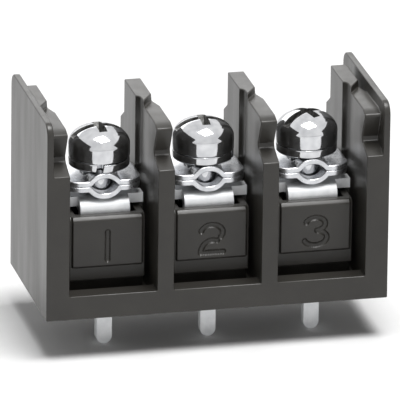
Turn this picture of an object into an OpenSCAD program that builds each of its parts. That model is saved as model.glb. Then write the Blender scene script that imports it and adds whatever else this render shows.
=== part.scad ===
// Barrier terminal strip for a printed circuit board: three screw terminals in one moulded housing.
// Millimetres. The origin is the middle of the seating face that meets the board. X runs along the
// row of poles, -Y is the numbered front, +Y the back and +Z is up.

/* [Row] */
// Distance between the screws of neighbouring poles
pitch = 9.5; // [9.2:0.1:12]
// Depth of the housing from front to back
housing_depth = 15.2; // [14.8:0.1:17]
// Height of the end plates
plate_height = 18.4; // [18.4:0.1:20]
// Thickness of one barrier
barrier_thick = 1.5; // [1.3:0.1:1.6]
// Thickness of one end plate
plate_thick = 0.6; // [0.5:0.1:1]

/* [Barriers] */
// Height of the flat front, up to its shoulder
shoulder_height = 13.5; // [13:0.1:14]
// Height of the top's lower, front level
front_top_height = 17.4; // [17.2:0.1:17.6]
// Height of the top's upper, rear level
rear_top_height = 18.0; // [17.8:0.1:18.2]
// Sideways shift of the rear half against the front half
jog = 0.42; // [0.2:0.01:0.5]

/* [Front of a bay] */
// Height of the sill that closes the bay at the bottom
sill_height = 2.2; // [1.8:0.1:2.6]
// Width of the raised pad that carries the pole's number
pad_width = 6.4; // [6:0.1:6.6]
// Height of the ledge behind the pad
ledge_height = 8.65; // [8.3:0.05:8.7]

/* [Terminal] */
// Thickness of the sheet that the terminal is stamped from
terminal_thick = 0.9; // [0.8:0.05:1]
// Width of the flat plate under the clamp
terminal_width = 6.8; // [6.4:0.1:6.9]
// Width across the ears at the front of that plate
ear_width = 7.4; // [7:0.1:7.6]
// Width of the tab that folds down at the front
tab_width = 4.5; // [4:0.1:4.6]
// Width of the solder pin
pin_width = 1.4; // [1:0.1:1.5]
// Length of the solder pin below the housing
pin_length = 3.8; // [3:0.1:5]

/* [Clamp] */
// Thickness of one clamp plate
clamp_thick = 0.5; // [0.4:0.05:0.55]
// Width of a clamp plate along the row
clamp_width = 6.9; // [6.4:0.1:7]
// Depth of a clamp plate from front to back
clamp_depth = 5.4; // [5:0.1:5.6]
// Height of the half channel that is pressed into each plate
channel_rise = 0.7; // [0.5:0.05:0.8]
// Thickness of the split spring washer
spring_thick = 0.85; // [0.7:0.05:0.9]
// Outer diameter of the split spring washer
spring_dia = 5.5; // [5.2:0.1:5.6]

/* [Screw] */
// Thread diameter of the M3 screw
thread_dia = 3; // [3:0.1:3]
// Length below the head
screw_length = 8; // [7:0.5:8]
// Diameter of the pan head
head_dia = 5.55; // [5.4:0.05:5.6]
// Height of the pan head
head_height = 2.9; // [2.8:0.1:3]

/* [Hidden] */
poles = 3;
KINDS = ["terminal", "lower_clamp_plate", "upper_clamp_plate", "spring_washer", "screw"];
$fn = 64;

// One barrier to the next leaves a bay; an end wall is a plate with a barrier inside it.
bay_width = pitch - barrier_thick;
end_wall = plate_thick + barrier_thick;
housing_width = poles * bay_width + (poles - 1) * barrier_thick + 2 * end_wall;
plate_corner_r = 1.2;

// Side outline of a barrier: the notch that a snap-on cover grips, and the ramp at the back.
neck_y = 1.9;
neck_height = 14.3;
nose_y = 1.05;
nose_height = 16.95;
nose_top_y = 2;
upper_back_y = 12.2;
ramp_top_height = 14.95;
barrier_back_y = 13.6;
ramp_foot_height = 14.05;

// Plan of the jog, measured on the left and the right face of a barrier. The left face curves away
// from the front half and ends in a sharp corner, the right face runs straight.
jog_left = [6.6, 7.65];
jog_right = [6.3, 7.86];
jog_curve = 3.3;
rear_top_y = 6.2;

// Front of a bay.
sill_depth = 1.8;
well_floor_height = 1.2;
pad_y = 2.5;
pad_height = 8.3;
pad_foot_height = 3.95;
boss_width = 6.9;
boss_y = 2.7;
boss_foot_height = 2.64;
undercut_y = 3.4;
core_y = 6;
pocket_floor_height = 6.4;
pocket_margin = 0.5;

// The screw stands over the middle of the bay.
axis_y = 6.4;
tab_y = 3.6;
plate_front_y = 4.8;
ear_back_y = 6;
terminal_rear_y = 10;
seat_height = 8.95;
terminal_top = seat_height + terminal_thick;
bend_r = terminal_thick + 0.2;
shank_foot_height = 3;
collar_dia = 3.9;
collar_depth = 0.9;
screw_well_dia = 4.3;
slot_gap = 0.05;

clamp_middle = terminal_top + channel_rise + clamp_thick;
clamp_top = clamp_middle + channel_rise + clamp_thick;
channel_half = 1.22;
channel_curve = 2.4;
clamp_corner_r = 1.5;
clamp_hole_dia = thread_dia + 0.2;
thread_hole_dia = thread_dia + 0.1;
spring_hole_dia = thread_dia + 0.1;
spring_split = 0.55;
spring_split_turns = [-10, 62, 104];

head_foot = clamp_top + spring_thick;
head_side_height = 1.15;
cross_width = 0.7;
cross_length = 2.9;
cross_depth = 1.5;
slot_width = 0.75;
slot_depth = 1;
recess_turns = [4, 0, 28];

housing_colour = "#4b4947";
tin_colour = "#e2e3e4";
plate_colour = "#cfd2d6";
steel_colour = "#d8dbde";

// Moves a shape drawn with its front face at y = 0 and its bay centred on x = 0 to pole n.
module at_pole(n) {
    translate([(n - (poles + 1) / 2) * pitch, -housing_depth / 2, 0]) children();
}

// Extrudes an outline drawn in (y, z) along x, from x = 0.
module along_row(length) {
    rotate([90, 0, 90]) linear_extrude(length) children();
}

// Points of an arc about a centre, from one angle to another.
function arc(centre, r, from, to, steps = 8) =
    [for (i = [0:steps]) let (a = from + (to - from) * i / steps) centre + r * [cos(a), sin(a)]];

// Side outline of a barrier up to the lower top level.
module barrier_side() {
    polygon(concat(
        [[0, 0], [0, shoulder_height]],
        arc([neck_y - 0.35, neck_height + 0.42], 0.5, -80, 10, 6),
        arc([nose_y + 0.25, nose_height - 0.05], 0.25, 200, 110, 4),
        [[nose_top_y, front_top_height], [upper_back_y, front_top_height],
         [upper_back_y, ramp_top_height], [barrier_back_y, ramp_foot_height],
         [barrier_back_y, 0]]));
}

// The left face's curve across the jog, from front to back.
function jog_points(steps = 8) =
    [for (i = [0:steps]) let (t = i / steps)
        [-jog * pow(t, jog_curve), jog_left[0] + t * (jog_left[1] - jog_left[0])]];

// Plan of a barrier, its left front corner at the origin: the rear half steps to the left.
module barrier_plan() {
    polygon(concat([[0, 0]], jog_points(),
        [[-jog, housing_depth], [barrier_thick - jog, housing_depth],
         [barrier_thick - jog, jog_right[1]], [barrier_thick, jog_right[0]], [barrier_thick, 0]]));
}

// Plan of the raised rear half, whose front end runs slanting across the jog.
module barrier_rear_plan() {
    polygon(concat([[0, rear_top_y]], jog_points(),
        [[-jog, upper_back_y], [barrier_thick - jog, upper_back_y],
         [barrier_thick - jog, jog_right[1]]]));
}

module barrier() {
    intersection() {
        linear_extrude(plate_height) barrier_plan();
        translate([-barrier_thick, 0, 0]) along_row(3 * barrier_thick) barrier_side();
    }
    linear_extrude(rear_top_height) barrier_rear_plan();
}

// A thin plate with both top corners rounded, a little taller than the barriers.
module end_plate() {
    far = housing_depth - plate_corner_r;
    high = plate_height - plate_corner_r;
    along_row(plate_thick) polygon(concat(
        [[0, 0]],
        arc([plate_corner_r, high], plate_corner_r, 180, 90),
        arc([far, high], plate_corner_r, 90, 0),
        [[housing_depth, 0]]));
}

// A block centred on the pole, between two depths and two heights.
module bay_block(width, from_y, to_y, from_z, to_z) {
    translate([-width / 2, from_y, from_z]) cube([width, to_y - from_y, to_z - from_z]);
}

// The boss that carries the number pad: undercut below, with a sloping front edge on top.
module number_boss() {
    slope = ledge_height - pad_height;
    translate([-boss_width / 2, 0, 0]) along_row(boss_width) polygon([
        [boss_y, boss_foot_height], [boss_y, pad_height], [boss_y + slope, ledge_height],
        [core_y, ledge_height], [core_y, 0], [undercut_y, 0], [undercut_y, boss_foot_height]]);
    translate([-pad_width / 2, 0, 0]) along_row(pad_width) polygon([
        [pad_y, pad_foot_height], [pad_y, pad_height], [pad_y + slope, ledge_height],
        [undercut_y, ledge_height], [undercut_y, pad_foot_height]]);
}

// What fills one bay: sill, floor, number boss and the core that the terminal sits on.
module bay_core() {
    inner = bay_width + barrier_thick;
    difference() {
        union() {
            bay_block(inner, 0, sill_depth, 0, sill_height);
            bay_block(inner, 0, core_y, 0, well_floor_height);
            bay_block(inner, core_y, housing_depth, 0, seat_height);
            number_boss();
        }
        // the slot for the folded tab, and the narrow one for the pin
        bay_block(tab_width + 2 * slot_gap, tab_y - slot_gap, tab_y + terminal_thick + slot_gap,
                  shank_foot_height, plate_height);
        bay_block(pin_width + 2 * slot_gap, tab_y - slot_gap, tab_y + terminal_thick + slot_gap,
                  -1, plate_height);
        // pocket round the upper half of the tab, under the front of the plate
        bay_block(tab_width + 2 * pocket_margin, tab_y - slot_gap, core_y, pocket_floor_height,
                  plate_height);
        // room for the threaded collar and the screw's end
        translate([0, axis_y, shank_foot_height + 0.6]) cylinder(h = plate_height, d = screw_well_dia);
    }
}

module housing() {
    color(housing_colour) union() {
        for (n = [1:poles]) at_pole(n) bay_core();
        for (n = [0:poles]) at_pole(n) translate([bay_width / 2, 0, 0]) barrier();
        for (x = [-housing_width / 2, housing_width / 2 - plate_thick])
            translate([x, -housing_depth / 2, 0]) end_plate();
        // the base runs on behind the barriers, also in the end walls
        for (x = [-housing_width / 2, housing_width / 2 - end_wall])
            translate([x, core_y - housing_depth / 2, 0])
                cube([end_wall, housing_depth - core_y, seat_height]);
        // below the ramp's foot the right end plate stands against the last barrier
        translate([housing_width / 2 - plate_thick - 2 * jog, jog_right[0] - housing_depth / 2, 0])
            cube([2 * jog + plate_thick / 2, barrier_back_y - jog_right[0], ramp_foot_height]);
    }
}

// Stamped and tinned: the plate that the clamp presses on, a threaded collar, and the folded strip
// that runs down through the housing and ends in the solder pin.
module terminal(n) {
    bend_y = tab_y + bend_r;
    bend_z = terminal_top - bend_r;
    pin_tip_r = pin_width / 2;
    color(tin_colour) at_pole(n) difference() {
        union() {
            bay_block(terminal_width, plate_front_y, terminal_rear_y, seat_height, terminal_top);
            bay_block(ear_width, plate_front_y, ear_back_y, seat_height, terminal_top);
            // fold: a quarter ring between the plate and the strip
            translate([-tab_width / 2, 0, 0]) along_row(tab_width) polygon(concat(
                [[plate_front_y + 0.1, seat_height], [plate_front_y + 0.1, terminal_top]],
                arc([bend_y, bend_z], bend_r, 90, 180),
                [[tab_y, shank_foot_height + slot_gap],
                 [tab_y + terminal_thick, shank_foot_height + slot_gap]],
                arc([bend_y, bend_z], bend_r - terminal_thick, 180, 90, 4)));
            // solder pin with a round end
            bay_block(pin_width, tab_y, tab_y + terminal_thick,
                      pin_tip_r - pin_length, shank_foot_height + 1);
            translate([0, tab_y + terminal_thick, pin_tip_r - pin_length])
                rotate([90, 0, 0]) cylinder(h = terminal_thick, r = pin_tip_r);
            // collar pulled down round the threaded hole
            translate([0, axis_y, seat_height - collar_depth])
                cylinder(h = collar_depth + 0.1, d = collar_dia);
        }
        translate([0, axis_y, 0]) cylinder(h = plate_height, d = thread_hole_dia);
    }
}

// Channel pressed across a clamp plate: how high its underside stands at distance x, and how
// steeply it falls there.
function channel(x) = channel_rise * (1 - pow(abs(x) / channel_half, channel_curve));
function channel_slope(x) = -sign(x) * channel_rise * channel_curve / channel_half
    * pow(abs(x) / channel_half, channel_curve - 1);

// The point of the plate's upper side that lies square above its underside at distance x.
function over_channel(x) = let (slope = channel_slope(x))
    [x, channel(x)] + clamp_thick * [-slope, 1] / norm([slope, 1]);

// Plate section in (x, z): flat arms at z = 0 with the channel bowed upwards between them.
module clamp_section() {
    half = clamp_width / 2;
    steps = 12;
    xs = [for (i = [-steps:steps]) channel_half * i / steps];
    crown = [for (x = xs) over_channel(-x)];
    polygon(concat(
        [[-half, 0]], [for (x = xs) [x, channel(x)]], [[half, 0], [half, clamp_thick]],
        [for (point = crown) if (point[1] > clamp_thick) point],
        [[-half, clamp_thick]]));
}

// Plan of a clamp plate: a rectangle with well rounded corners.
module clamp_plan() {
    offset(clamp_corner_r, $fn = 32)
        square([clamp_width, clamp_depth] - 2 * clamp_corner_r * [1, 1], center = true);
}

module clamp_plate() {
    difference() {
        intersection() {
            translate([0, clamp_depth / 2 + 1, 0]) rotate([90, 0, 0])
                linear_extrude(clamp_depth + 2) clamp_section();
            translate([0, 0, -1]) linear_extrude(4) clamp_plan();
        }
        translate([0, 0, -1]) cylinder(h = 4, d = clamp_hole_dia);
    }
}

// The lower plate is the upper one turned over, so that the two channels make an eye.
module lower_clamp_plate(n) {
    color(plate_colour) at_pole(n) translate([0, axis_y, clamp_middle])
        rotate([0, 180, 0]) clamp_plate();
}

module upper_clamp_plate(n) {
    color(plate_colour) at_pole(n) translate([0, axis_y, clamp_middle]) clamp_plate();
}

// Flattened split washer; each one has stopped with its split at a turn of its own.
module spring_washer(n) {
    color(steel_colour) at_pole(n) translate([0, axis_y, clamp_top]) difference() {
        cylinder(h = spring_thick, d = spring_dia);
        translate([0, 0, -1]) cylinder(h = spring_thick + 2, d = spring_hole_dia);
        rotate([0, 0, spring_split_turns[n - 1]])
            translate([-spring_split / 2, -spring_dia, -1])
                cube([spring_split, spring_dia, spring_thick + 2]);
    }
}

// Half section of the round head in (r, z), from its flat underside: a short upright side, then
// a high dome.
module head_section() {
    r = head_dia / 2;
    rise = head_height - head_side_height;
    steps = 16;
    polygon(concat(
        [[0, 0], [r - 0.1, 0], [r, 0.1]],
        [for (i = [0:steps]) let (a = 90 * i / steps)
            [r * cos(a), head_side_height + rise * sin(a)]]));
}

// Cross and slot recess for either kind of screwdriver, cut down from the head's top. The slot is
// open at the head's edge.
module recess() {
    for (a = [0, 90]) rotate([0, 0, a])
        translate([-cross_length / 2, -cross_width / 2, -cross_depth])
            cube([cross_length, cross_width, cross_depth + 1]);
    translate([-head_dia, -slot_width / 2, -slot_depth]) cube([2 * head_dia, slot_width, slot_depth + 1]);
}

module screw(n) {
    color(steel_colour) at_pole(n) translate([0, axis_y, head_foot]) {
        difference() {
            union() {
                rotate_extrude() head_section();
                translate([0, 0, -screw_length + 0.4]) cylinder(h = screw_length, d = thread_dia);
                translate([0, 0, -screw_length])
                    cylinder(h = 0.4, d1 = thread_dia - 0.8, d2 = thread_dia);
            }
            translate([0, 0, head_height]) rotate([0, 0, recess_turns[n - 1]]) recess();
        }
    }
}

housing();
for (n = [1:poles]) {
    terminal(n);
    lower_clamp_plate(n);
    upper_clamp_plate(n);
    spring_washer(n);
    screw(n);
}
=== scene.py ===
from math import cos, pi, radians, sin

import bmesh
import bpy
import numpy as np
from mathutils import Matrix, Vector


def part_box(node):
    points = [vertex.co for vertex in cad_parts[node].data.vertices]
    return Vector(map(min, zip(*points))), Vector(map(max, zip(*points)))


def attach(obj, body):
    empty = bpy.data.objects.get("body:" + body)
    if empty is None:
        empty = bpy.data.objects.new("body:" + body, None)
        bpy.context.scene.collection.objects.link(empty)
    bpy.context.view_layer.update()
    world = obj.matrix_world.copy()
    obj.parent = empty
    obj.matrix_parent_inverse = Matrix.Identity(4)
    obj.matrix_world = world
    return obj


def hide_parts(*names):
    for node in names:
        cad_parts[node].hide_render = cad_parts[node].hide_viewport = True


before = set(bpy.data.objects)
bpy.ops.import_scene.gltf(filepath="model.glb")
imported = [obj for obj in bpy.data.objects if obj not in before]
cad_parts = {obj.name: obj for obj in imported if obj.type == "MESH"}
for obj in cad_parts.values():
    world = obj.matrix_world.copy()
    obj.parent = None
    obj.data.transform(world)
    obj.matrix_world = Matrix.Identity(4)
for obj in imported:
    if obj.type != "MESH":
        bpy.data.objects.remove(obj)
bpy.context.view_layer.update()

# A barrier terminal strip: one moulded housing, and in each of its three bays a tinned terminal, a pair
# of bowed clamp plates, a spring washer and a combination-recess screw. Lengths below are in millimetres.
MM = 0.001
POLES = (1, 2, 3)
TAU = 2 * pi

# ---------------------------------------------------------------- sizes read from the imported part


def centre_of(node):
    """Middle of a CAD node's box, in mm."""
    low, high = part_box(node)
    return np.array([(a + b) / 2 / MM for a, b in zip(low, high)])


def low_of(node):
    return np.array(list(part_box(node)[0])) / MM


def high_of(node):
    return np.array(list(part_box(node)[1])) / MM


HOUSING_LOW, HOUSING_HIGH = low_of("housing"), high_of("housing")
WASHER_LOW, WASHER_HIGH = low_of("spring_washer_1"), high_of("spring_washer_1")
AXIS_Y = centre_of("spring_washer_1")[1]
POLE_X = {n: centre_of(f"terminal_{n}")[0] for n in POLES}
HEAD_FOOT = WASHER_HIGH[2]
HEAD_TOP = high_of("screw_1")[2]
SCREW_END = low_of("screw_1")[2]
CLAMP_MIDDLE = low_of("upper_clamp_plate_1")[2]
PAD_Y = HOUSING_LOW[1] + 2.5

# Where each screw stopped turning, and where the cut of its spring washer stands, in degrees.
SCREW_TURN = {1: 4, 2: 0, 3: 28}
WASHER_TURN = {1: -10, 2: 62, 3: 104}

# ---------------------------------------------------------------- meshes


def new_object(name, data):
    piece = bpy.data.objects.new(name, data)
    bpy.context.scene.collection.objects.link(piece)
    return piece


def surface(name, rows, close_rows=False, close_columns=True, caps=()):
    """Mesh of a grid of points, rows x columns x 3, in mm. Neighbouring rows and columns are joined by
    quads. close_rows joins the last row to the first, close_columns the last column to the first, and
    caps lists the end rows ("first", "last") that are closed by a fan round their own middle."""
    rows = np.asarray(rows, float)
    n, m = rows.shape[:2]
    i = np.arange(n if close_rows else n - 1)[:, None]
    j = np.arange(m if close_columns else m - 1)[None, :]
    i2, j2 = (i + 1) % n, (j + 1) % m
    quads = np.stack([i * m + j, i * m + j2, i2 * m + j2, i2 * m + j], -1).reshape(-1, 4)
    points = rows.reshape(-1, 3)
    faces = quads.tolist()
    for cap in caps:
        row = 0 if cap == "first" else n - 1
        points = np.vstack([points, rows[row].mean(0)])
        ring = row * m + np.arange(m)
        after = np.roll(ring, -1)
        hub = np.full(m, len(points) - 1)
        order = (hub, after, ring) if cap == "first" else (hub, ring, after)
        faces += np.stack(order, -1).tolist()
    mesh = bpy.data.meshes.new(name)
    mesh.from_pydata((points * MM).tolist(), [], faces)
    return settle(new_object(name, mesh))


def settle(piece, smooth_angle=35):
    """Merges doubled points, points every face outwards and smooths all but the sharp edges."""
    work = bmesh.new()
    work.from_mesh(piece.data)
    bmesh.ops.remove_doubles(work, verts=work.verts, dist=1e-7)
    bmesh.ops.recalc_face_normals(work, faces=work.faces)
    for face in work.faces:
        face.smooth = True
    for edge in work.edges:
        edge.smooth = edge.calc_face_angle(0) < radians(smooth_angle)
    work.to_mesh(piece.data)
    work.free()
    return piece


def applied(piece):
    """Makes the piece's modifiers part of its mesh."""
    mesh = bpy.data.meshes.new_from_object(
        piece.evaluated_get(bpy.context.evaluated_depsgraph_get()))
    piece.modifiers.clear()
    piece.data = mesh
    return piece


def bevelled(piece, width, segments=2, angle=30, overlap=False):
    """Rounds every edge that turns by more than the angle."""
    mod = piece.modifiers.new("bevel", "BEVEL")
    mod.width = width * MM
    mod.segments = segments
    mod.limit_method = "ANGLE"
    mod.angle_limit = radians(angle)
    mod.use_clamp_overlap = not overlap
    mod.miter_outer = "MITER_ARC"
    return applied(piece)


def flat_faces_kept(piece, weight=80):
    """Weighted normals: large flat faces shade flat, and the roundings between them take up the turn."""
    mod = piece.modifiers.new("weighted", "WEIGHTED_NORMAL")
    mod.weight = weight
    mod.keep_sharp = True
    return applied(piece)


def cut(piece, cutters):
    for cutter in cutters:
        mod = piece.modifiers.new("cut", "BOOLEAN")
        mod.operation = "DIFFERENCE"
        mod.solver = "EXACT"
        mod.object = cutter
        applied(piece)
    for cutter in cutters:
        bpy.data.objects.remove(cutter)
    return piece


def merged_copy(node, name):
    """A CAD node's shape as one closed mesh: its loose triangles are merged and its flat faces made whole."""
    piece = new_object(name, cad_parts[node].data.copy())
    piece.data.materials.clear()
    work = bmesh.new()
    work.from_mesh(piece.data)
    bmesh.ops.remove_doubles(work, verts=work.verts, dist=1e-6)
    bmesh.ops.dissolve_limit(work, angle_limit=radians(0.5), verts=work.verts, edges=work.edges)
    work.to_mesh(piece.data)
    work.free()
    return piece


# ---------------------------------------------------------------- materials


def linear(hex_colour):
    """sRGB hex to linear RGBA."""
    raw = np.array([int(hex_colour[i:i + 2], 16) / 255 for i in (1, 3, 5)])
    out = np.where(raw <= 0.04045, raw / 12.92, ((raw + 0.055) / 1.055) ** 2.4)
    return (*out, 1.0)


def node(tree, kind, settings=None, links=None):
    """Adds a node. settings are its own properties or, by name or index, its inputs' values; links
    join its inputs to other nodes' outputs, given as (node, output)."""
    made = tree.nodes.new(kind)
    for key, value in (settings or {}).items():
        if isinstance(key, str) and hasattr(made, key):
            setattr(made, key, value)
        else:
            made.inputs[key].default_value = value
    for key, (source, output) in (links or {}).items():
        tree.links.new(source.outputs[output], made.inputs[key])
    return made


def new_material(name):
    material = bpy.data.materials.new(name)
    material.use_nodes = True
    tree = material.node_tree
    tree.nodes.clear()
    return material, tree


def ramp(tree, source, output, stops):
    """Colour ramp through (position, colour) stops."""
    made = node(tree, "ShaderNodeValToRGB", links={0: (source, output)})
    elements = made.color_ramp.elements
    while len(elements) < len(stops):
        elements.new(0.5)
    for element, (at, colour) in zip(elements, stops):
        element.position = at
        element.color = colour
    return made


def finish(tree, shader):
    node(tree, "ShaderNodeOutputMaterial", links={0: (shader, 0)})


def moulded_plastic():
    """Glass-filled polyester, compression moulded in a fine spark-eroded tool: dark warm grey, matte,
    with slow clouding where the fill lies differently and a fine even grain of about 0.12 mm."""
    material, tree = new_material("moulded polyester, spark-eroded matte")
    place = node(tree, "ShaderNodeTexCoord")
    clouds = node(tree, "ShaderNodeTexNoise", {"Scale": 1 / (3.0 * MM), "Detail": 4.0, "Roughness": 0.55},
                  {"Vector": (place, "Object")})
    flow = node(tree, "ShaderNodeMapping", {"Scale": (1.0, 1.0, 0.12)}, {"Vector": (place, "Object")})
    streaks = node(tree, "ShaderNodeTexNoise", {"Scale": 1 / (1.6 * MM), "Detail": 3.0},
                   {"Vector": (flow, 0)})
    grain = node(tree, "ShaderNodeTexNoise", {"Scale": 1 / (0.12 * MM), "Detail": 2.0, "Roughness": 0.6},
                 {"Vector": (place, "Object")})
    tint = ramp(tree, clouds, 0, [(0.25, linear("#302e2b")), (0.75, linear("#393733"))])
    rough = node(tree, "ShaderNodeMapRange", {"From Min": 0.3, "From Max": 0.7, "To Min": 0.28, "To Max": 0.38},
                 {"Value": (streaks, 0)})
    small = node(tree, "ShaderNodeBump", {"Strength": 0.35, "Distance": 0.01 * MM}, {"Height": (grain, 0)})
    broad = node(tree, "ShaderNodeBump", {"Strength": 0.5, "Distance": 0.03 * MM},
                 {"Height": (clouds, 0), "Normal": (small, 0)})
    finish(tree, node(tree, "ShaderNodeBsdfPrincipled", {"IOR": 1.52, "Specular IOR Level": 0.42},
                      {"Base Color": (tint, 0), "Roughness": (rough, 0), "Normal": (broad, 0)}))
    return material


def tin_plate():
    """Matt tin over stamped brass: near white, soft, with faint rolling lines and a few duller patches."""
    material, tree = new_material("matt tin plate on stamped brass")
    place = node(tree, "ShaderNodeTexCoord")
    patches = node(tree, "ShaderNodeTexNoise", {"Scale": 1 / (1.2 * MM), "Detail": 5.0, "Roughness": 0.6},
                   {"Vector": (place, "Object")})
    rolled = node(tree, "ShaderNodeMapping", {"Scale": (1.0, 0.15, 0.15)}, {"Vector": (place, "Object")})
    lines = node(tree, "ShaderNodeTexNoise", {"Scale": 1 / (0.12 * MM), "Detail": 2.0}, {"Vector": (rolled, 0)})
    tint = ramp(tree, patches, 0, [(0.3, linear("#d9dbdd")), (0.7, linear("#eeeff0"))])
    rough = node(tree, "ShaderNodeMapRange", {"From Min": 0.3, "From Max": 0.7, "To Min": 0.5, "To Max": 0.62},
                 {"Value": (patches, 0)})
    bump = node(tree, "ShaderNodeBump", {"Strength": 0.3, "Distance": 0.006 * MM}, {"Height": (lines, 0)})
    finish(tree, node(tree, "ShaderNodeBsdfPrincipled", {"Metallic": 0.85},
                      {"Base Color": (tint, 0), "Roughness": (rough, 0), "Normal": (bump, 0)}))
    return material


def bright_nickel(name, tones, roughness, dents):
    """Bright nickel over steel, barrel plated: mirror-like, with shallow handling dents of about
    0.8 mm and a fine haze of 0.1 mm that blurs it a little in places."""
    material, tree = new_material(name)
    place = node(tree, "ShaderNodeTexCoord")
    waves = node(tree, "ShaderNodeTexNoise", {"Scale": 1 / (0.8 * MM), "Detail": 1.0}, {"Vector": (place, "Object")})
    haze = node(tree, "ShaderNodeTexNoise", {"Scale": 1 / (0.1 * MM), "Detail": 3.0}, {"Vector": (place, "Object")})
    tint = ramp(tree, waves, 0, [(0.3, linear(tones[0])), (0.7, linear(tones[1]))])
    rough = node(tree, "ShaderNodeMapRange", {"From Min": 0.35, "From Max": 0.65,
                 "To Min": roughness[0], "To Max": roughness[1]}, {"Value": (haze, 0)})
    bump = node(tree, "ShaderNodeBump", {"Strength": dents, "Distance": 0.02 * MM}, {"Height": (waves, 0)})
    finish(tree, node(tree, "ShaderNodeBsdfPrincipled", {"Metallic": 1.0},
                      {"Base Color": (tint, 0), "Roughness": (rough, 0), "Normal": (bump, 0)}))
    return material


def painted_shade_recess():
    """Nickel deep in a driver recess, darkened as painted shade: a dark, slightly warm satin with patches of about 0.3
    mm that stands in for the shade and dark reflections there."""
    material, tree = new_material("nickel with painted shade in the driver recess")
    place = node(tree, "ShaderNodeTexCoord")
    patches = node(tree, "ShaderNodeTexNoise", {"Scale": 1 / (0.3 * MM), "Detail": 3.0}, {"Vector": (place, "Object")})
    # Painted shade: dark nickel tones for the recess faces.
    tint = ramp(tree, patches, 0, [(0.3, linear("#4c4b49")), (0.7, linear("#8b8b8a"))])
    finish(tree, node(tree, "ShaderNodeBsdfPrincipled", {"Metallic": 1.0, "Roughness": 0.38},
                      {"Base Color": (tint, 0)}))
    return material


HOUSING_FINISH = moulded_plastic()
TIN_FINISH = tin_plate()
RECESS_SHADE_FINISH = painted_shade_recess()
SCREW_FINISH = bright_nickel("bright nickel plate on a cold-headed screw", ("#c2c3c6", "#d8d9db"), (0.06, 0.12), 0.2)
CLAMP_FINISH = bright_nickel("bright nickel plate on pressed clamp plates", ("#c3c5c8", "#dcdde0"), (0.26, 0.36), 0.15)


def dress(piece, finish_material, body, slot, *nodes):
    """Gives a finished piece its material and its body, and hides the CAD nodes that it stands for. The slot argument
    is not used.
    """
    piece.data.materials.append(finish_material)
    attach(piece, body)
    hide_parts(*nodes)
    return piece


# ---------------------------------------------------------------- housing


def arc_points(centre, radius, start, end, count):
    """Points of an arc in (x, z), angles in degrees."""
    a = np.radians(np.linspace(start, end, count))
    return np.stack([centre[0] + radius[0] * np.cos(a), centre[1] + radius[1] * np.sin(a)], -1)


def digit_path(n):
    """The centre line of a plain figure 1, 2 or 3 in (x, z), about its own middle: straight strokes
    and arcs of ellipses, 2.6 mm tall between stroke centres."""
    if n == 1:
        return np.stack([np.zeros(12), np.linspace(1.3, -1.3, 12)], -1)
    if n == 2:
        head = arc_points((0, 0.55), (1.0, 0.75), 165, -35, 22)
        return np.vstack([head, arc_points((0.1, -1.3), (1.1, 1.15), 62, 180, 16)[1:],
                          np.stack([np.linspace(-1.0, 1.05, 10), np.full(10, -1.3)], -1)[1:]])
    upper = arc_points((0, 0.68), (0.9, 0.62), 160, -80, 22)
    return np.vstack([upper, arc_points((0, -0.62), (1.05, 0.68), 80, -160, 24)])


DIGIT_STROKE, DIGIT_DEPTH, DIGIT_MIDDLE = 0.26, 0.2, 5.85


def numbered(piece, n):
    """Puts pole n's number into its pad. The pad's large flat face gives way to a grid of points, and a
    point sinks by a round tool's section: the depth times the root of 1 - (d / r)^2 at a distance d from
    the figure's centre line, with r half the stroke's width."""
    work = bmesh.new()
    work.from_mesh(piece.data)
    pads = [f for f in work.faces if f.normal.y < -0.999 and abs(f.calc_center_median().x / MM - POLE_X[n]) < 1
            and abs(f.calc_center_median().y / MM - PAD_Y) < 0.02]
    pad = max(pads, key=lambda f: f.calc_area())
    corners = np.array([v.co for v in pad.verts]) / MM
    material_index = pad.material_index
    bmesh.ops.delete(work, geom=[pad], context="FACES_ONLY")
    low, high = corners.min(0), corners.max(0)
    margin = np.array([0.08, 0, 0.08])
    frame_low, frame_high = low + margin, high - margin
    step = 0.05
    xs = np.arange(frame_low[0], frame_high[0] + step / 2, step)
    zs = np.arange(frame_low[2], frame_high[2] + step / 2, step)
    path = digit_path(n) + (POLE_X[n], DIGIT_MIDDLE)
    away = np.hypot(xs[None, :, None] - path[None, None, :, 0], zs[:, None, None] - path[None, None, :, 1]).min(2)
    sink = DIGIT_DEPTH * np.sqrt(np.clip(1 - (away / DIGIT_STROKE) ** 2, 0, 1))
    rows = [[work.verts.new((x * MM, (low[1] + d) * MM, z * MM)) for x, d in zip(xs, line)]
            for z, line in zip(zs, sink)]
    for below, above in zip(rows, rows[1:]):
        for i in range(len(xs) - 1):
            work.faces.new((below[i], below[i + 1], above[i + 1], above[i])).smooth = True
    rim = [e for e in work.edges if e.is_boundary]
    made = bmesh.ops.triangle_fill(work, edges=rim, use_beauty=True, normal=(0, -1, 0))
    for face in work.faces:
        face.material_index = material_index
    work.to_mesh(piece.data)
    work.free()


housing = bevelled(merged_copy("housing", "moulded_housing"), 0.12, 3, overlap=True)
for n in POLES:
    numbered(housing, n)
settle(housing, 40)
flat_faces_kept(housing)
dress(housing, HOUSING_FINISH, "housing_body", "housing", "housing")

# ---------------------------------------------------------------- terminals

for n in POLES:
    terminal = bevelled(merged_copy(f"terminal_{n}", f"tinned_terminal_{n}"), 0.06, 2)
    settle(terminal, 40)
    flat_faces_kept(terminal)
    dress(terminal, TIN_FINISH, "housing_body", "tinned_brass", f"terminal_{n}")

# ---------------------------------------------------------------- clamps

CLAMP_HALF, CLAMP_CORNER_R = (3.45, 2.7), 1.5
CLAMP_HOLE_R = 1.6
CHANNEL_HALF, CHANNEL_RISE, CHANNEL_CURVE, CLAMP_THICK = 1.22, 0.7, 2.4, 0.5


def channel(x):
    """Height of a plate's inner side at a distance x from its middle line: a pressed channel that
    follows rise * (1 - |x / half|^curve), and the flat arms beside it, with the foot eased over 0.1 mm."""
    rise = CHANNEL_RISE * (1 - np.abs(x / CHANNEL_HALF) ** CHANNEL_CURVE)
    ease = 0.05
    return (rise + np.sqrt(rise ** 2 + ease ** 2)) / 2


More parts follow.
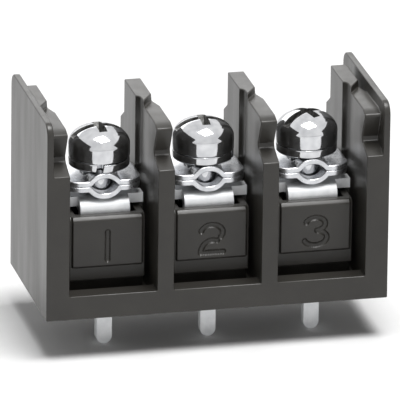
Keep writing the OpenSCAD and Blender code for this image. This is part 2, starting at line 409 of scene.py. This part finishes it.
def channel_outside(x):
    """Height of the outer side: the inner side set off by the sheet's thickness square to its curve."""
    fine = np.linspace(-CLAMP_HALF[0] - 0.5, CLAMP_HALF[0] + 0.5, 1601)
    inner = channel(fine)
    slope = np.gradient(inner, fine)
    length = np.sqrt(1 + slope ** 2)
    return np.interp(x, fine - slope / length * CLAMP_THICK, inner + CLAMP_THICK / length)


def clamp_outline(angles):
    """Distance to the plate's edge in each direction: a rectangle with its corners rounded."""
    c, s = np.abs(np.cos(angles)), np.abs(np.sin(angles))
    w, d = CLAMP_HALF
    reach = np.minimum(w / np.maximum(c, 1e-9), d / np.maximum(s, 1e-9))
    cx, cy = w - CLAMP_CORNER_R, d - CLAMP_CORNER_R
    along = c * cx + s * cy
    on_arc = along + np.sqrt(np.maximum(along ** 2 - cx ** 2 - cy ** 2 + CLAMP_CORNER_R ** 2, 0))
    in_corner = (reach * c > cx) & (reach * s > cy)
    return np.where(in_corner, on_arc, reach)


def clamp_plate(name, pole, side):
    """A clamp plate as a ring: for each direction a closed loop goes over the top from the hole to the
    edge and back underneath, with rounded edges. A point's height runs between the plate's inner and
    outer side at its own distance from the middle line."""
    angles = np.linspace(0, TAU, 192, endpoint=False)
    outer = clamp_outline(angles)
    edge = 0.12
    turn = np.radians(np.linspace(90, -90, 7))
    spread = np.linspace(0, 1, 14)
    half = CLAMP_THICK / 2
    inner_r, outer_r = CLAMP_HOLE_R + edge, outer - edge
    across = inner_r + spread[None, :] * (outer_r - inner_r)[:, None]
    round_out = outer_r[:, None] + edge * np.cos(turn)[None, :]
    round_in = np.broadcast_to(inner_r - edge * np.cos(turn[::-1])[None, :], round_out.shape)
    rise = (half - edge) * np.sign(np.sin(turn)) + edge * np.sin(turn)
    flat = np.full(len(spread), half)
    r = np.concatenate([across, round_out, across[:, ::-1], round_in], 1)
    h = np.concatenate([flat, rise, -flat, rise[::-1]])
    x, y = r * np.cos(angles)[:, None], r * np.sin(angles)[:, None]
    upper = np.broadcast_to(h[None, :] / CLAMP_THICK + 0.5, x.shape)
    z = channel(x) * (1 - upper) + channel_outside(x) * upper
    points = np.stack([POLE_X[pole] + x, AXIS_Y + y, CLAMP_MIDDLE + side * z], -1)
    return surface(name, points, close_rows=True)


for n in POLES:
    for word, side in (("upper", 1), ("lower", -1)):
        plate = clamp_plate(f"{word}_bowed_plate_{n}", n, side)
        dress(plate, CLAMP_FINISH, f"clamp_{n}", "clamp_steel", f"{word}_clamp_plate_{n}")

# ---------------------------------------------------------------- spring washers


def spring_washer(pole):
    """Square wire with rounded corners wound almost one turn: the ring's height climbs a little from
    one end of the cut to the other, and both ends are sheared at a slant."""
    radius, width = (2.75 + 1.55) / 2, 1.2
    tall = HEAD_FOOT - WASHER_LOW[2]
    climb, wire = 0.08, tall - 0.08
    corner = 0.16
    turns = np.radians(np.linspace(0, 90, 5))
    loop = np.vstack([np.stack([sx * (width / 2 - corner) + corner * np.cos(turns + q),
                                sz * (wire / 2 - corner) + corner * np.sin(turns + q)], -1)
                      for sx, sz, q in ((1, 1, 0), (-1, 1, pi / 2), (-1, -1, pi), (1, -1, 3 * pi / 2))])
    share = np.linspace(0, 1, 120)[:, None]
    gap, slant = 0.5 / radius, 0.15
    start = radians(WASHER_TURN[pole] - 90)
    angle = start + gap / 2 + share * (TAU - gap) + slant * loop[None, :, 1] / radius
    r = radius + loop[None, :, 0]
    z = WASHER_LOW[2] + wire / 2 + climb * share + loop[None, :, 1]
    points = np.stack([POLE_X[pole] + r * np.cos(angle), AXIS_Y + r * np.sin(angle),
                       np.broadcast_to(z, angle.shape)], -1)
    return surface(f"split_spring_washer_{pole}", points, caps=("first", "last"))


for n in POLES:
    dress(spring_washer(n), SCREW_FINISH, f"clamp_{n}", "screw_steel", f"spring_washer_{n}")

# ---------------------------------------------------------------- screws

HEAD_R, HEAD_SIDE, THREAD_R, THREAD_STEP = 2.775, 1.15, 1.5, 0.5
HEAD_HIGH = HEAD_TOP - HEAD_FOOT


def lathe(name, profile, centre, sides=128):
    """A profile of (r, z) turned about a vertical axis, its ends closed on the axis."""
    profile = np.asarray(profile, float)
    a = np.arange(sides) * TAU / sides
    points = np.stack([centre[0] + profile[:, :1] * np.cos(a), centre[1] + profile[:, :1] * np.sin(a),
                       np.broadcast_to(profile[:, 1:], (len(profile), sides))], -1)
    return surface(name, points, caps=("first", "last"))


def head_profile():
    """Half section of the head: flat foot, short upright side and a high dome, a quarter of an ellipse."""
    foot = [(1.4, 0), (HEAD_R - 0.12, 0), (HEAD_R - 0.03, 0.04), (HEAD_R, 0.13), (HEAD_R, HEAD_SIDE / 2)]
    a = np.linspace(0, pi / 2, 28)[:-1]
    dome = np.stack([HEAD_R * np.cos(a), HEAD_SIDE + (HEAD_HIGH - HEAD_SIDE) * np.sin(a)], -1)
    profile = np.vstack([foot, dome])
    profile[:, 1] += HEAD_FOOT
    return profile


def block(name, half_low, half_high, low, high, turn, centre):
    """A tapered bar: a rectangle at its foot and a wider one at its top, turned about the screw's axis."""
    c, s = cos(radians(turn)), sin(radians(turn))
    rows = []
    for (hx, hy), z in ((half_low, low), (half_high, high)):
        rows.append([(centre[0] + x * c - y * s, centre[1] + x * s + y * c, z)
                     for x, y in ((hx, hy), (-hx, hy), (-hx, -hy), (hx, -hy))])
    return surface(name, rows, caps=("first", "last"))


PLAIN_FROM, PLAIN_R = CLAMP_MIDDLE - 1.0, 1.4


def thread(name, centre, low, high):
    """A screw thread: at each height and angle the radius follows a triangle wave of the angle plus
    the height over the pitch. It fades to the root near the point, and gives way to the plain neck
    under the head, which holds the washer and the plates captive."""
    sides = 48
    z = np.arange(low, high, THREAD_STEP / 10)
    a = np.arange(sides) * TAU / sides
    phase = (z[:, None] / THREAD_STEP - a[None, :] / TAU) % 1
    wave = np.clip(np.abs(phase - 0.5) * 2.4 - 0.1, 0, 1)
    point = np.clip((z - low) / 0.6, 0, 1)[:, None]
    plain = np.clip((z - PLAIN_FROM) / 0.15, 0, 1)[:, None]
    r = (THREAD_R - 0.3 + (0.3 - 0.02) * wave * point - 0.25 * (1 - point)) * (1 - plain) + PLAIN_R * plain
    points = np.stack([centre[0] + r * np.cos(a), centre[1] + r * np.sin(a),
                       np.broadcast_to(z[:, None], r.shape)], -1)
    return surface(name, points, caps=("first", "last"))


def mark_recess(head, centre):
    """Gives the faces that lie below the dome's own height, inside the recess, the second material, whose darker
    colour is painted shade.
    """
    for face in head.data.polygons:
        x, y, z = np.array(face.center) / MM
        far = min(np.hypot(x - centre[0], y - centre[1]) / HEAD_R, 1)
        dome = HEAD_FOOT + HEAD_SIDE + (HEAD_HIGH - HEAD_SIDE) * np.sqrt(1 - far ** 2)
        face.material_index = int(z > HEAD_FOOT + HEAD_SIDE and z < dome - 0.06)


def screw(pole):
    centre = (POLE_X[pole], AXIS_Y)
    head = lathe(f"recessed_screw_{pole}", head_profile(), centre)
    turn = SCREW_TURN[pole]
    deep = HEAD_TOP - 1.5
    cutters = [block("slot", (4, 0.37), (4, 0.4), HEAD_TOP - 1.0, HEAD_TOP + 1, turn, centre),
               block("cross_1", (0.8, 0.3), (1.6, 0.4), deep, HEAD_TOP + 0.2, turn, centre),
               block("cross_2", (0.8, 0.3), (1.6, 0.4), deep, HEAD_TOP + 0.2, turn + 90, centre)]
    cut(head, cutters)
    bevelled(head, 0.05, 2, 35)
    mark_recess(head, centre)
    shank = thread("shank", centre, SCREW_END, HEAD_FOOT + 0.3)
    join(head, shank)
    return settle(head, 40)


def join(first, second):
    """Puts the second piece's mesh into the first's as a shell of its own."""
    work = bmesh.new()
    work.from_mesh(first.data)
    work.from_mesh(second.data)
    work.to_mesh(first.data)
    work.free()
    bpy.data.objects.remove(second)


for n in POLES:
    piece = dress(screw(n), SCREW_FINISH, f"screw_body_{n}", "screw_steel", f"screw_{n}")
    # The second material paints shade into the driver recess.
    piece.data.materials.append(RECESS_SHADE_FINISH)

# ---------------------------------------------------------------- studio

FLOOR_Z = low_of("terminal_1")[2] * MM


def studio_world():
    """Even white surroundings for the camera and for reflections, and a softer level for diffuse light."""
    world = bpy.data.worlds.new("white studio")
    bpy.context.scene.world = world
    world.use_nodes = True
    tree = world.node_tree
    tree.nodes.clear()
    path = node(tree, "ShaderNodeLightPath")
    sharp = node(tree, "ShaderNodeMath", {"operation": "MAXIMUM"},
                 {0: (path, "Is Glossy Ray"), 1: (path, "Is Transmission Ray")})
    seen = node(tree, "ShaderNodeMath", {"operation": "MAXIMUM"}, {0: (path, "Is Camera Ray"), 1: (sharp, 0)})
    soft = node(tree, "ShaderNodeBackground", {"Color": linear("#ffffff"), "Strength": 0.12})
    white = node(tree, "ShaderNodeBackground", {"Color": linear("#ffffff"), "Strength": 1.0})
    both = node(tree, "ShaderNodeMixShader", {}, {0: (seen, 0), 1: (soft, 0), 2: (white, 0)})
    node(tree, "ShaderNodeOutputWorld", links={0: (both, 0)})


def area_light(name, position, target, size, power, colour="#ffffff"):
    data = bpy.data.lights.new(name, "AREA")
    data.shape = "RECTANGLE"
    data.size, data.size_y = size[0] * MM, size[1] * MM
    data.energy = power
    data.color = linear(colour)[:3]
    lamp = new_object(name, data)
    position, target = Vector(position) * MM, Vector(target) * MM
    lamp.location = position
    lamp.rotation_euler = (target - position).to_track_quat("-Z", "Y").to_euler()


def floor():
    """A wide plain white sheet under the pins."""
    half = 1500.0
    xs = np.linspace(-half, half, 3)
    grid = np.stack([np.stack([xs, np.full(3, v), np.full(3, FLOOR_Z / MM)], -1) for v in xs])
    piece = surface("studio_floor", grid, close_columns=False)
    material, tree = new_material("white studio sheet")
    place = node(tree, "ShaderNodeTexCoord")
    tooth = node(tree, "ShaderNodeTexNoise", {"Scale": 1 / (2.0 * MM)}, {"Vector": (place, "Object")})
    tint = ramp(tree, tooth, 0, [(0.3, linear("#fbfbfb")), (0.7, linear("#fdfdfd"))])
    finish(tree, node(tree, "ShaderNodeBsdfPrincipled", {"Roughness": 0.9, "IOR": 1.3},
                      {"Base Color": (tint, 0)}))
    piece.data.materials.append(material)
    if piece.data.polygons[0].normal.z < 0:
        piece.data.flip_normals()


studio_world()
floor()
area_light("key", (50, -90, 580), (0, 0, 8), (300, 300), 3.7)
area_light("back", (-160, 460, 260), (0, 0, 8), (760, 220), 0.8)

# ---------------------------------------------------------------- camera


def camera():
    """A long lens 0.88 m away, 13.5 degrees left of the front and 20 degrees above it."""
    azimuth, elevation, roll = radians(13.476), radians(20.057), radians(0.726)
    forward = Vector((sin(azimuth) * cos(elevation), cos(azimuth) * cos(elevation), -sin(elevation)))
    right = Vector((cos(azimuth), -sin(azimuth), 0))
    up = right.cross(forward)
    right, up = cos(roll) * right + sin(roll) * up, cos(roll) * up - sin(roll) * right
    target = Vector((0.04, -0.2, 9.0)) - 1.165 * up - 0.012 * right
    place = (target - 878.1 * forward) * MM
    data = bpy.data.cameras.new("camera")
    data.sensor_width = 36
    data.lens = 884.2
    data.clip_start, data.clip_end = 0.05, 20
    seen = new_object("camera", data)
    seen.matrix_world = Matrix((
        (right.x, up.x, -forward.x, place.x), (right.y, up.y, -forward.y, place.y),
        (right.z, up.z, -forward.z, place.z), (0, 0, 0, 1)))
    bpy.context.scene.camera = seen


camera()
bpy.context.scene.view_settings.view_transform = "Standard"
